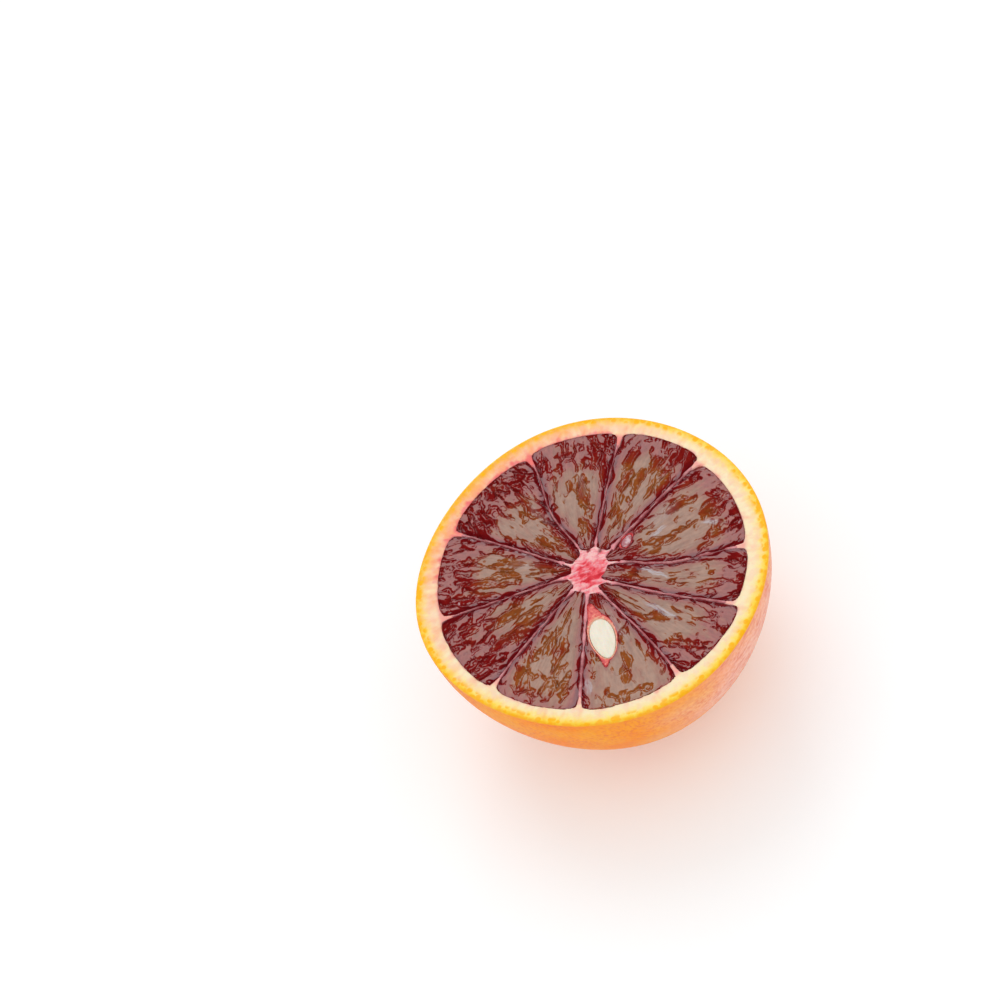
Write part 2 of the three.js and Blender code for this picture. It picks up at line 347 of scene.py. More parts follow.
class Look:
    """A principled material and short ways to build its nodes."""

    def __init__(self, name, **sockets):
        self.material = bpy.data.materials.new(name)
        self.material.use_nodes = True
        self.tree = self.material.node_tree
        self.shader = self.tree.nodes["Principled BSDF"]
        self.fill(self.shader, **sockets)
        self.object_place = self.node("ShaderNodeTexCoord").outputs["Object"]

    def node(self, kind, **settings):
        made = self.tree.nodes.new(kind)
        for key, value in settings.items():
            setattr(made, key, value)
        return made

    def fill(self, node, **numbers):
        for key, number in numbers.items():
            node.inputs[key.replace("_", " ")].default_value = number

    def link(self, source, socket):
        """Feeds a socket from another one, or with a number or a colour."""
        if isinstance(source, tuple):
            socket.default_value = (*source, 1)
        elif isinstance(source, (int, float)):
            socket.default_value = source
        else:
            self.tree.links.new(source, socket)

    def drive(self, key, source):
        self.link(source, self.shader.inputs[key])

    def attribute(self, name):
        return self.node("ShaderNodeAttribute", attribute_name=name).outputs["Fac"]

    def math(self, operation, first, second):
        made = self.node("ShaderNodeMath", operation=operation)
        self.link(first, made.inputs[0])
        self.link(second, made.inputs[1])
        return made.outputs[0]

    def plus(self, first, second):
        return self.math("ADD", first, second)

    def times(self, first, second):
        return self.math("MULTIPLY", first, second)

    def span(self, value, low, high, to_low=0.0, to_high=1.0):
        made = self.node("ShaderNodeMapRange", interpolation_type="SMOOTHSTEP")
        self.link(value, made.inputs["Value"])
        self.fill(made, From_Min=low, From_Max=high, To_Min=to_low, To_Max=to_high)
        return made.outputs["Result"]

    def noise(self, size_mm, detail=2.0, roughness=0.5, distortion=0.0, stretch=(1, 1, 1)):
        """Noise from 0 to 1 whose features are about that many millimetres."""
        scale = self.node("ShaderNodeMapping")
        self.link(self.object_place, scale.inputs["Vector"])
        scale.inputs["Scale"].default_value = [1 / (size_mm * MM * s) for s in stretch]
        made = self.node("ShaderNodeTexNoise")
        self.link(scale.outputs["Vector"], made.inputs["Vector"])
        self.fill(made, Scale=1.0, Detail=detail, Roughness=roughness, Distortion=distortion)
        return made.outputs["Fac"]

    def ripple(self, size_mm, height, **settings):
        """Noise to both sides of 0 that spans about that height."""
        return self.times(self.math("SUBTRACT", self.noise(size_mm, **settings), 0.5), height)

    def cells(self, size_mm):
        """Distance from the middle of the nearest of many cells."""
        made = self.node("ShaderNodeTexVoronoi")
        self.link(self.object_place, made.inputs["Vector"])
        self.fill(made, Scale=1 / (size_mm * MM))
        return made.outputs["Distance"]

    def ramp(self, value, *stops):
        """A colour for each place along value, from stops of a place, red, green and blue."""
        made = self.node("ShaderNodeValToRGB")
        elements = made.color_ramp.elements
        while len(elements) < len(stops):
            elements.new(0.5)
        for element, (place, *colour) in zip(elements, stops):
            element.position = place
            element.color = (*colour, 1)
        self.link(value, made.inputs["Fac"])
        return made.outputs["Color"]

    def blend(self, share, first, second, kind="MIX"):
        made = self.node("ShaderNodeMix", data_type="RGBA", blend_type=kind)
        self.link(share, made.inputs["Factor"])
        self.link(first, made.inputs[6])
        self.link(second, made.inputs[7])
        return made.outputs[2]

    def bump(self, height, strength, depth_mm):
        made = self.node("ShaderNodeBump")
        self.fill(made, Strength=strength, Distance=depth_mm * MM)
        self.link(height, made.inputs["Height"])
        self.drive("Normal", made.outputs["Normal"])

    def colour(self, source):
        self.drive("Base Color", source)


def pulp_look():
    look = Look("pulp", Roughness=0.12, IOR=1.45, Coat_Roughness=0.04, Coat_IOR=1.45)
    look.drive("Coat Weight", look.span(look.attribute("slope_shade"), 0.3, 1.0, 1.0, 0.7))
    tone = look.plus(look.attribute("tone"), look.ripple(0.9, 0.3, detail=3))
    # Flat pulp: greyer colours that hold a painted reflection veil.
    flat_veiled_flesh = look.ramp(
        tone,
        (0.0, 0.14, 0.016, 0.024),
        (0.15, 0.24, 0.04, 0.035),
        (0.3, 0.28, 0.06, 0.042),
        (0.5, 0.265, 0.08, 0.046),
        (0.75, 0.275, 0.115, 0.064),
        (1.0, 0.31, 0.16, 0.1),
    )
    # Steep pulp: darker, more saturated colours as painted shade.
    steep_shaded_flesh = look.ramp(
        tone,
        (0.0, 0.14, 0.003, 0.005),
        (0.2, 0.205, 0.006, 0.005),
        (0.42, 0.235, 0.02, 0.01),
        (0.65, 0.25, 0.034, 0.008),
        (1.0, 0.29, 0.09, 0.018),
    )
    # Painted sheen: the colour is lightened and darkened in streaks, as a reflection that brightens and
    # dims.
    painted_sheen = look.ramp(look.attribute("painted_sheen"), (0.0, 0.82, 0.82, 0.82), (1.0, 1.12, 1.12, 1.12))
    base = look.blend(1.0, look.blend(look.attribute("slope_shade"), flat_veiled_flesh, steep_shaded_flesh), painted_sheen, "MULTIPLY")
    # Painted bluish-white glints and pale reflection patches over the pulp.
    look.colour(look.blend(look.attribute("painted_glint"), base, (0.48, 0.48, 0.54)))
    return look.material


def rind_look():
    look = Look(PEEL, Specular_IOR_Level=0.2, Subsurface_Weight=0.1, Subsurface_Scale=1.0 * MM)
    look.shader.inputs["Subsurface Radius"].default_value = (1.0, 0.6, 0.3)
    inward = look.attribute("inward")
    depth = look.math("DIVIDE", look.plus(inward, look.ripple(1.3, 2.0, detail=3)), 5.0)
    cream = look.ramp(
        depth,
        (0.0, 1.0, 0.43, 0.006),
        (0.12, 0.98, 0.64, 0.04),
        (0.24, 0.96, 0.72, 0.16),
        (0.36, 0.94, 0.75, 0.32),
        (0.6, 0.93, 0.77, 0.5),
    )
    peach = look.ramp(
        depth,
        (0.0, 0.98, 0.34, 0.004),
        (0.12, 0.96, 0.42, 0.03),
        (0.24, 0.95, 0.44, 0.07),
        (0.36, 0.94, 0.43, 0.13),
        (0.6, 0.93, 0.38, 0.2),
    )
    layers = look.blend(look.attribute("bloom"), cream, peach)
    dots = look.span(look.cells(1.4), 0.34, 0.52, 1.0, 0.0)
    near_skin = look.times(look.span(inward, 1.0, 1.9, 1.0, 0.0), look.span(inward, 0.05, 0.2))
    glands = look.blend(look.times(dots, near_skin), layers, (1.0, 0.47, 0.0))
    patches = look.span(look.noise(1.8, detail=3), 0.45, 0.62)
    deep_in = look.times(patches, look.span(inward, 0.8, 2.0, 0.05, 0.35))
    pink = look.blend(deep_in, glands, (0.92, 0.55, 0.42))
    stain = look.blend(look.attribute("bloom"), (0.88, 0.4, 0.35), (0.86, 0.17, 0.16))
    pith = look.blend(look.attribute("blush"), pink, stain)
    orange = look.ramp(
        look.noise(10, detail=3),
        (0.35, 1.0, 0.25, 0.002),
        (0.5, 1.0, 0.32, 0.004),
        (0.7, 1.0, 0.41, 0.01),
    )
    clouds = look.span(look.noise(7, detail=4), 0.3, 0.65, 0.2, 0.8)
    ripe = look.times(clouds, look.attribute("blush"))
    warm = look.blend(ripe, orange, (0.9, 0.12, 0.006))
    # Paler skin at one side: partly the peel's own colour, partly a painted sheen where light grazes it.
    skin = look.blend(look.attribute("paleness_and_sheen"), warm, (0.97, 0.57, 0.46))
    speckle = look.span(look.noise(0.7, detail=3), 0.46, 0.64)
    blotch = look.span(look.noise(9, detail=4, roughness=0.6), 0.42, 0.62, 0.25, 1.0)
    red = look.times(look.times(speckle, blotch), 0.55)
    flecked = look.blend(red, skin, (0.84, 0.14, 0.04))
    streaks = look.span(look.noise(1.2, detail=4, stretch=(2.2, 2.2, 0.8), distortion=0.4), 0.4, 0.7)
    streaky = look.blend(look.times(streaks, look.attribute("streak")), flecked, (0.78, 0.19, 0.13))
    pits = look.blend(look.times(look.attribute("gland"), 0.4), streaky, (0.88, 0.2, 0.02))
    look.colour(look.blend(look.attribute("skin"), pith, pits))
    look.drive("Roughness", look.plus(0.4, look.times(look.noise(1.5), 0.15)))
    look.bump(look.noise(0.7, detail=3), 0.3, 0.14)
    return look.material


def core_look():
    look = Look("core", Roughness=0.45, IOR=1.4, Subsurface_Weight=0.15, Subsurface_Scale=0.8 * MM)
    fibrous = look.plus(look.attribute("fibre"), look.ripple(0.8, 2.0, detail=4, distortion=1.0))
    tone = look.plus(fibrous, look.attribute("edge"))
    spongy = look.ramp(
        look.plus(look.times(tone, 0.42), 0.38),
        (0.1, 0.72, 0.02, 0.04),
        (0.35, 0.86, 0.1, 0.13),
        (0.6, 0.88, 0.25, 0.29),
        (0.95, 0.9, 0.5, 0.49),
    )
    look.colour(look.blend(look.attribute("between"), spongy, (0.24, 0.015, 0.02)))
    look.bump(look.noise(0.5, detail=3), 0.4, 0.2)
    return look.material


def membrane_look():
    look = Look("membrane", Roughness=0.25, IOR=1.42, Coat_Weight=0.6, Coat_Roughness=0.08)
    wall = look.ramp(
        look.noise(1.6, detail=3),
        (0.35, 0.26, 0.04, 0.05),
        (0.5, 0.36, 0.09, 0.1),
        (0.65, 0.47, 0.19, 0.19),
    )
    # Painted shade: the blade's sides below its ridge, in the gaps beside the pulp, turn dark maroon.
    shaded = look.blend(look.attribute("low"), wall, (0.16, 0.012, 0.016))
    look.colour(look.blend(look.attribute("pale"), shaded, (0.84, 0.31, 0.34)))
    return look.material


def seed_look():
    look = Look("seed", Roughness=0.4, IOR=1.45, Subsurface_Weight=0.15, Subsurface_Scale=1.0 * MM)
    grain = look.noise(2.2, stretch=(0.35, 1.6, 1))
    ivory = look.ramp(grain, (0.3, 0.78, 0.7, 0.55), (0.7, 0.84, 0.78, 0.66))
    glassy = look.ramp(look.noise(0.9), (0.4, 0.42, 0.14, 0.16), (0.6, 0.62, 0.42, 0.44))
    look.colour(look.blend(look.attribute("young"), ivory, glassy))
    return look.material


def chamber_look():
    look = Look("seed_chamber", Roughness=0.35, IOR=1.42, Coat_Weight=0.25, Coat_Roughness=0.1)
    fibrous = look.plus(look.attribute("outer"), look.ripple(0.7, 1.2, detail=3, distortion=0.8))
    skin = look.ramp(
        look.plus(fibrous, look.attribute("young")),
        (0.05, 0.86, 0.44, 0.3),
        (0.35, 0.8, 0.16, 0.12),
        (0.65, 0.6, 0.035, 0.045),
        (0.95, 0.2, 0.006, 0.01),
    )
    look.colour(skin)
    return look.material


# -------- rind and pith

SKIN_COLUMNS = 880
SKIN_ROWS = 98
BOWL_ROWS = 5
SHELL = 3.0  # thickness of the skin's piece
PITH_COLUMNS = 1180
PITH_ROWS = 36
RING_START = 27.5  # the ring of pith is modelled from here outwards
RING_DEPTH = 3.5
TISSUE_SLOPE = 2.6  # how steeply pith and core fall away under the pulp
TISSUE_DEEPEST = 1.2
GLAND_SPACING = 1.05
GLAND_DEPTH = 0.08
PALE_SHEEN_STARTS = (-105, -48)  # the skin is paler between these directions, partly its own colour and partly a painted sheen
PALE_SHEEN_ENDS = (-15, 50)  # and turns orange again between these
PALE_SHEEN_WANDER = 16  # degrees by which its edges wander
PALE_SHEEN_DEEPEST = (14, 27)  # it ends between these depths
BLOOM_TOWARDS = 115  # where the peel has taken up red juice
BLOOM_SPREAD = 62


def tissue_height(x, y, outside):
    """Pith and core at the cut: level between the segments, sinking under their pulp."""
    grain = 0.03 * rough_noise(x / 0.9, y / 0.9, 11) + 0.05 * noise(x / 3.5, y / 3.5, 12)
    uneven_edge = outside + 0.06 * noise(x / 1.1, y / 1.1, 13)
    sunk = np.clip(-uneven_edge * TISSUE_SLOPE, 0, TISSUE_DEEPEST)
    return grain - sunk


def bloom_at(degrees):
    """1 where the peel has taken up the most red juice, falling to 0 on both sides."""
    return np.exp(-((turned_from(degrees, BLOOM_TOWARDS) / BLOOM_SPREAD) ** 2))


def gland_centres():
    """Places of the oil glands, spread evenly over a unit sphere's lower half, with some jitter."""
    count = int(2 * math.pi * MEAN_RADIUS**2 / GLAND_SPACING**2)
    numbers = np.arange(count)
    golden = math.pi * (3 - math.sqrt(5))
    jitter = np.random.default_rng(5).uniform(-0.45, 0.45, (2, count))
    height = -(numbers + 0.5 + jitter[0]) / count
    turn = golden * numbers + jitter[1] * GLAND_SPACING / MEAN_RADIUS
    width = np.sqrt(1 - height**2)
    return np.stack([width * np.cos(turn), width * np.sin(turn), height], axis=1)


def gland_closeness(directions):
    """1 at the middle of an oil gland, falling to 0 between glands."""
    tree = tree_of(gland_centres())
    away = np.array([tree.find(direction)[2] for direction in directions]) * MEAN_RADIUS
    return 1 - smooth(away, 0, 0.5 * GLAND_SPACING)


def skin_rows(degrees):
    """Rows of the peel's shell, from the middle of its inside over the rim and down the outside."""
    rim = outline_radius(degrees)
    share = rim / FRUIT_RADIUS
    rows = []
    inside = FRUIT_RADIUS - SHELL
    for level in range(BOWL_ROWS):
        turn = math.radians(mix(80, 4, level / (BOWL_ROWS - 1)))
        rows.append((inside * math.cos(turn) * share, -(FRUIT_DEPTH - SHELL) * math.sin(turn)))
    for turn in np.radians((0, 5, 30, 55, 75)):
        radius = rim - RIM_ROUNDING * (1 - math.sin(turn))
        rows.append((radius, -RIM_ROUNDING * (1 - math.cos(turn))))
    first = math.asin(RIM_ROUNDING / ROUND_DEPTH)
    last = math.acos(REST_SPOT_RADIUS / FRUIT_RADIUS)
    for step in np.linspace(0, 1, SKIN_ROWS):
        turn = mix(first, last, mix(step, step**2, 0.55))
        rows.append((rim * math.cos(turn), -ROUND_DEPTH * math.sin(turn)))
    return rows


def build_skin(material):
    degrees = np.arange(SKIN_COLUMNS) * 360 / SKIN_COLUMNS
    rows = skin_rows(degrees)
    points = np.concatenate([row_of(*polar(radius, degrees), height) for radius, height in rows])
    depth_in = (outline_radius(degrees) - np.stack([radius for radius, _ in rows])).ravel()
    outer = np.arange(len(points)) >= (len(rows) - SKIN_ROWS) * SKIN_COLUMNS
    directions = points[outer] / np.linalg.norm(points[outer], axis=1, keepdims=True)
    gland = np.zeros(len(points))
    gland[outer] = gland_closeness(directions)
    below_rim = smooth(-points[:, 2], RIM_ROUNDING, RIM_ROUNDING + 0.8)
    above_spot = smooth(FRUIT_DEPTH + points[:, 2], 0.1, 1.5)
    points[outer] -= directions * (gland * GLAND_DEPTH * below_rim * above_spot)[outer, None]
    points = np.concatenate([points, [(0, 0, -FRUIT_DEPTH + SHELL), (0, 0, -FRUIT_DEPTH)]])
    azimuth = np.degrees(np.arctan2(points[:, 1], points[:, 0]))
    depth = -points[:, 2]
    # The pale patch is partly the peel's own colour and partly a painted sheen.
    wander = PALE_SHEEN_WANDER * noise(azimuth / 22, points[:, 2] / 8, 26)
    pale_sheen_share = smooth(azimuth + wander, *PALE_SHEEN_STARTS) * (1 - smooth(azimuth + wander, *PALE_SHEEN_ENDS))
    pale_sheen_share = pale_sheen_share * (1 - smooth(depth + wander / 4, *PALE_SHEEN_DEEPEST))
    outer_or_pole = np.append(outer, (0, 1))
    values = {
        "paleness_and_sheen": 0.95 * pale_sheen_share * smooth(depth, -9, 9),
        "streak": 0.12 + 0.63 * pale_sheen_share,
        "inward": np.append(np.where(outer, 0, depth_in), (5, 0)),
        "skin": outer_or_pole,
        "gland": gland,
        "bloom": 0,
        "blush": bloom_at(azimuth) * outer_or_pole,
    }
    faces = capped_faces(len(rows), SKIN_COLUMNS)
    add_piece("rind", points, faces, material, PEEL, values)


def pith_stains(degrees, radius, rim, outside):
    """How much red juice the pith has taken up, and how red it is there."""
    x, y = polar(radius, degrees)
    around = bloom_at(degrees)
    flush = rough_noise(x / 2.5, y / 2.5, 21)
    rays = 0.6 * around * rough_noise(degrees / 2.2, radius / 5, 24)
    near = smooth(0.3 + 0.8 * around - outside + 0.7 * flush + rays, 0, 1.1)
    between = 0.9 * smooth(rim - radius, MEAN_PEEL + 0.1, MEAN_PEEL + 1.2) * (outside > -0.7)
    spots = smooth(noise(degrees / 7, 0, 23) + 0.3 * flush, 0.45, 0.8)
    blush = np.maximum(np.maximum(near, between), 0.6 * spots * smooth(outside, 3.2, 0.4))
    mottle = 0.35 * rough_noise(x / 3, y / 3, 22) + 0.25 * rough_noise(degrees / 2, radius / 4, 25)
    return blush, np.clip(around + mottle, 0, 1)


def build_pith(material):
    degrees = np.arange(PITH_COLUMNS) * 360 / PITH_COLUMNS
    rim = outline_radius(degrees)
    points, inwards, stains = [], [], []
    steps = [0, *np.linspace(0, 1, PITH_ROWS)[:-1], 0.996, 1, 1]  # first and last are at its foot
    for number, step in enumerate(steps):
        radius = mix(RING_START * rim / FRUIT_RADIUS, rim - RIM_ROUNDING, step)
        x, y = polar(radius, degrees)
        outside = outside_pulp(x, y)
        dip = 0.1 * smooth(rim - radius, 0.5, 1.4) * smooth(outside, -0.2, 1)
        height = tissue_height(x, y, outside) * smooth(rim - radius, 0.5, 1) - dip
        height -= 1 - smooth(radius, RING_START, RING_START + 2.6)
        if number in (0, len(steps) - 1):
            height = -RING_DEPTH
        points.append(row_of(x, y, height))
        inwards.append(rim - radius)
        stains.append(pith_stains(degrees, radius, rim, outside))
    blushes, blooms = zip(*stains)
    values = {"inward": inwards, "blush": blushes, "bloom": blooms}
    values.update(dict.fromkeys(("paleness_and_sheen", "streak", "skin", "gland"), 0))
    faces = grid_faces(len(steps), PITH_COLUMNS, rings=True, tube=True)
    add_piece("pith", np.concatenate(points), faces, material, PEEL, values)


# -------- core and membranes

CORE_COLUMNS = 300
CORE_ROWS = 56
CORE_REACH = 7.6
CORE_X, CORE_Y = -0.7, -1.2  # its middle
CORE_BOTTOM = -FLESH_DEPTH + 1
CORE_ARMS = (0.9, 0.6, 0.5, 0.9, 0.8, 0.9, 1.1, 0.9, 0.7, 0.5)  # half of how wide each wall leaves it
MEMBRANE_START = 4.5
MEMBRANE_STEPS = 200
MEMBRANE_COLUMNS = 9
MEMBRANE_HALF_WIDTHS = (0.3, 0.17, 0.16, 0.2, 0.17, 0.22, 0.34, 0.2, 0.24, 0.3)  # half of what shows
MEMBRANE_PALENESS = (0.05, 0.1, 0.0, 0.1, 0.05, 0.1, 0.6, 0.35, 0.3, 0.0)  # away from the pith
MEMBRANE_RIDGE = 0.07
MEMBRANE_DEPTH = 3.0


def beside_arms(x, y):
    """How far a point by the core is from the nearest of the arms that run into the walls."""
    radius = np.hypot(x, y)
    degrees = np.degrees(np.arctan2(y, x))
    away = []
    for index, arm in enumerate(CORE_ARMS):
        turned = turned_from(degrees, wall_angle(index, radius))
        away.append(radius * np.radians(np.abs(turned)) - arm)
    return np.minimum.reduce(away)


def build_core(material):
    degrees = np.arange(CORE_COLUMNS) * 360 / CORE_COLUMNS
    points, fibres, edges, betweens = [], [], [], []
    for radius in np.linspace(0.15, CORE_REACH, CORE_ROWS):
        x, y = polar(radius, degrees)
        x, y = x + CORE_X, y + CORE_Y
        outside = outside_pulp(x, y)
        bend = 0.6 * noise(x / 2.2, y / 2.2, 30)
        fibre = rough_noise((x + bend) / 1.9, (y - bend) / 0.75, 31)
        spread = smooth(outside, 0, 0.8)
        from_crease = y + 2.5 + 0.7 * noise(x / 1.6, 0, 32)
        crease = np.exp(-((from_crease / 0.3) ** 2)) * smooth(3.4 - np.abs(x + 0.3), 0, 1)
        between = smooth(beside_arms(x, y) + 0.35 * noise(x / 0.8, y / 0.8, 33), 0.1, 0.8)
        between = between * smooth(np.hypot(x + 0.8, y + 0.4), 3.3, 4.8)
        height = tissue_height(x, y, outside) + 0.2 * fibre * spread - 0.1 * spread
        height -= 0.6 * smooth(radius, 5.6, CORE_REACH) + 0.2 * crease + 0.25 * between
        points.append(row_of(x, y, height))
        fibres.append(fibre - 1.6 * crease)
        edges.append(smooth(np.hypot(x - CORE_X, y - CORE_Y), 1.6, 4.6))
        betweens.append(0.9 * between)
    for radius, height in ((CORE_REACH, -TISSUE_DEEPEST - 1.5), (2.5, CORE_BOTTOM)):
        points.append(row_of(*polar(radius, degrees), height))
    faces = capped_faces(len(points), CORE_COLUMNS)
    points.append(np.array([(CORE_X, CORE_Y, -0.1), (0, 0, CORE_BOTTOM)]))
    values = {"fibre": fibres, "edge": edges, "between": betweens}
    add_piece("core", np.concatenate(points), faces, material, PEEL, values)


def build_membrane(index, material):
    """The wall before a segment, from the core to the pith, as a thin upright blade."""
    radius = np.linspace(MEMBRANE_START, RING_START + 4, MEMBRANE_STEPS)
    middle_x, middle_y = polar(radius, wall_angle(index, radius))
    along = np.stack([np.gradient(middle_x), np.gradient(middle_y)], axis=1)
    along /= np.linalg.norm(along, axis=1, keepdims=True)
    by_core = 1 - smooth(radius, 5, 8.2)
    by_pith = smooth(radius, 27, RING_START + 3.4)
    uneven = 1 + 0.3 * noise(radius / 1.8, 0, 40 + index)
    half = MEMBRANE_HALF_WIDTHS[index] * uneven * (1 - 0.3 * by_pith) + 0.05 * by_pith
    half = half + 0.5 * CORE_ARMS[index] * by_core**2
    foot = half + 0.12
    hidden = smooth(noise(radius / 4 + 17 * index, 0, 42), -0.1, 0.4)
    hidden = hidden * smooth(radius, 7, 9) * (1 - smooth(radius, 27, 30)) * (1 - MEMBRANE_PALENESS[index])
    waver = 0.05 * noise(radius / 3 + 9 * index, 0, 41)
    ends = smooth(radius, RING_START + 1.8, RING_START + 3.6)
    top = MEMBRANE_RIDGE + waver - 0.36 * hidden - 0.4 * ends - 0.5 * (1 - smooth(radius, 5.2, 6.6))
    across = np.linspace(1, -1, MEMBRANE_COLUMNS)
    rounding = 0.14 * (1 - np.sqrt(1 - (0.9 * across) ** 2))
    section = [(foot, -MEMBRANE_DEPTH), (foot, top - 0.75)]
    section += [(part * half, top - drop) for part, drop in zip(across, rounding)]
    section += [(-foot, top - 0.75), (-foot, -MEMBRANE_DEPTH)]
    points = []
    for aside, height in section:
        points.append(row_of(middle_x - aside * along[:, 1], middle_y + aside * along[:, 0], height))
    count, steps = len(section), MEMBRANE_STEPS
    faces = grid_faces(count, steps)
    last = (count - 1) * steps
    faces += [(last + i, i, i + 1, last + i + 1) for i in range(steps - 1)]
    faces.append(tuple(row * steps for row in reversed(range(count))))
    faces.append(tuple(row * steps + steps - 1 for row in range(count)))
    pale = 0.9 * MEMBRANE_PALENESS[index] * (1 - smooth(radius, 14, 24))
    pale = np.maximum(0.8 * smooth(radius, 27, RING_START + 3.5), pale)
    pale = np.maximum(pale, 1 - smooth(radius, 5.5, 6.5 + 2.5 * CORE_ARMS[index]))
    # The ridge's top gets the full pale colour; the blade's sides get less of it and painted shade.
    values = {
        "pale": [pale * (0.4 + 0.6 * (abs(aside) <= half).all()) for aside, _ in section],
        "low": [1.0 - (np.abs(aside) <= half) for aside, _ in section],
    }
    name = f"membrane_{index + 1:02d}"
    add_piece(name, np.concatenate(points), faces, material, PEEL, values)


# -------- pulp

PULP_COLUMNS = 140
PULP_ROWS = 180
PULP_LEVELS = 5  # below the cut face
PULP_CLEARANCE = 0.1  # from the walls, below the cut face
EDGE_CROWDING = 0.22  # how much closer rows and columns are at the edges
SAC_WIDTH = 2.8  # of a cut juice sac
END_SAC_WIDTH = 2.4  # of those by the pith
GROOVE_SLOPE = 0.4  # beside a sac that dips under its neighbour
HOLLOW_SLOPE = 0.45  # of the gaps between sacs
SIDE_SLOPE = 0.32  # where the pulp falls off beside a wall
END_SLOPE = 0.45  # and by the pith
SHADE_SLOPES = (0.11, 0.21)  # between these slopes, flat pulp with a painted reflection veil turns into steep pulp with painted shade
# By segment: its seed, the seed's chamber, and how deep the pulp sinks there.
SEED_WELLS = {6: (LARGE_SEED, LARGE_CHAMBER, 2.6), 9: (SMALL_SEED, SMALL_CHAMBER, 1.3)}
# For each segment: how far out its amber middle reaches, how broken its outer end is, and how much
# of it slants away from the cut.
AMBER_REACH = (27, 24, 24, 24, 22, 31, 34, 27, 26, 27)
END_BROKEN = (0.4, 0.5, 0.8, 0.75, 0.7, 0.2, 0.0, 0.1, 0.25, 0.35)
SLANTED = (0.25, 0.4, 0.65, 0.5, 0.4, 0.2, 0.1, 0.3, 0.3, 0.35)
# How much brighter the painted sheen is at its outer end, and how much darker and redder painted shade
# its steep parts get.
END_SHEEN = (0.1, 0.1, 0.1, 0.1, 0.1, 0.3, 0.3, 0.2, 0.2, 0.2)
PAINTED_SLOPE_SHADE = (0.0, 0.02, 0.08, 0.06, 0.06, 0.02, 0.02, 0.08, 0.08, 0.08)
# Its gaps turn from long streaks by the core to round spots between these radii.
BLOBS_FROM = (16, 12, 10, 10, 10, 14, 16, 18, 18, 18)
BLOBS_TO = (26, 22, 20, 20, 20, 24, 28, 28, 28, 28)
SHADED_SEGMENT = 9  # its pulp falls off widely beside the wall that follows it
# Painted bluish-white glints and pale reflection patches on the pulp: middle, direction in degrees,
# length, width and how dense.
PAINTED_GLINTS = (
    (15.3, 1.5, 11, 5, 1.2, 0.5),
    (25.7, -1.4, -18, 4.5, 1.3, 0.55),
    (10.9, -7.0, -45, 9, 1.1, 0.6),
    (9.3, -16.2, -54, 10, 1.3, 0.6),
    (-9.7, -26, 75, 4.5, 1.8, 0.4),
    (-14.0, -8.5, 205, 6, 0.9, 0.35),
    (17.2, 4.6, 20, 10, 3.4, 0.12),
    (0.2, -15.5, -80, 11, 1.8, 0.14),
    (-5.3, 17.0, -68, 9, 2.0, 0.12),
    (5.0, 20.0, 77, 9, 1.8, 0.12),
    (-12.5, 7.0, 150, 9, 1.8, 0.12),
)


def above_zero(value, soft):
    """value where it is positive and 0 elsewhere, with the bend softened."""
    return (value + np.sqrt(value**2 + soft**2)) / 2


def juice_sacs(index, s, t, half_width):
    """Cut juice sacs that fan out from the core: distance to the nearest gap between two, the
    number of the sac at each point, whether it dips under its neighbour there, how far beside its
    middle the point is, and how far out the middle of each sac is. s runs outwards and t across,
    in millimetres."""
    inner, outer = segment_reach(index)
    draws = np.random.default_rng(100 + index)
    sites = []
    radius = inner + 1.0
    while radius < outer:
        crowd = smooth(radius, outer - 8, outer - 2)
        width = np.interp(radius, s[:, 0], half_width[:, 0])
        count = max(2, round(2 * width / mix(SAC_WIDTH, END_SAC_WIDTH, crowd)))
        for number in range(count):
            place = (2 * (number + 0.5 + draws.uniform(-0.3, 0.3)) / count - 1) * width
            length = mix(draws.uniform(2.8, 6), draws.uniform(1.4, 2.8), crowd)
            sites.append((radius + draws.uniform(-2, 2) * (1 - 0.5 * crowd), place, length))
        radius += mix(4.2, 2.4, crowd)
    sites = np.array(sites)
    warp_s = 0.8 * noise(s / 2.6, t / 1.7, 200 + index) + 0.3 * noise(s / 0.9, t / 0.7, 220 + index)
    warp_t = 0.5 * noise(s / 2.6, t / 2.0, 240 + index) + 0.22 * noise(s / 0.8, t / 0.7, 260 + index)
    across = ((t + warp_t).ravel()[:, None] - sites[:, 1]) / (SAC_WIDTH / 2)
    outwards = ((s + warp_s).ravel()[:, None] - sites[:, 0]) / sites[:, 2]
    away = np.sqrt(across**2 + outwards**2)
    nearest = np.argpartition(away, 1, axis=1)[:, :2]
    pair = np.take_along_axis(away, nearest, axis=1)
    first = np.argmin(pair, axis=1)
    gap = np.abs(pair[:, 1] - pair[:, 0]) * SAC_WIDTH / 4
    every = np.arange(len(first))
    sac = nearest[every, first]
    other = nearest[every, 1 - first]
    rank = draws.permutation(len(sites))
    beside = across[every, sac] * SAC_WIDTH / 2
    found = (gap, sac, rank[sac] < rank[other], beside)
    return *(value.reshape(s.shape) for value in found), sites[:, 0]


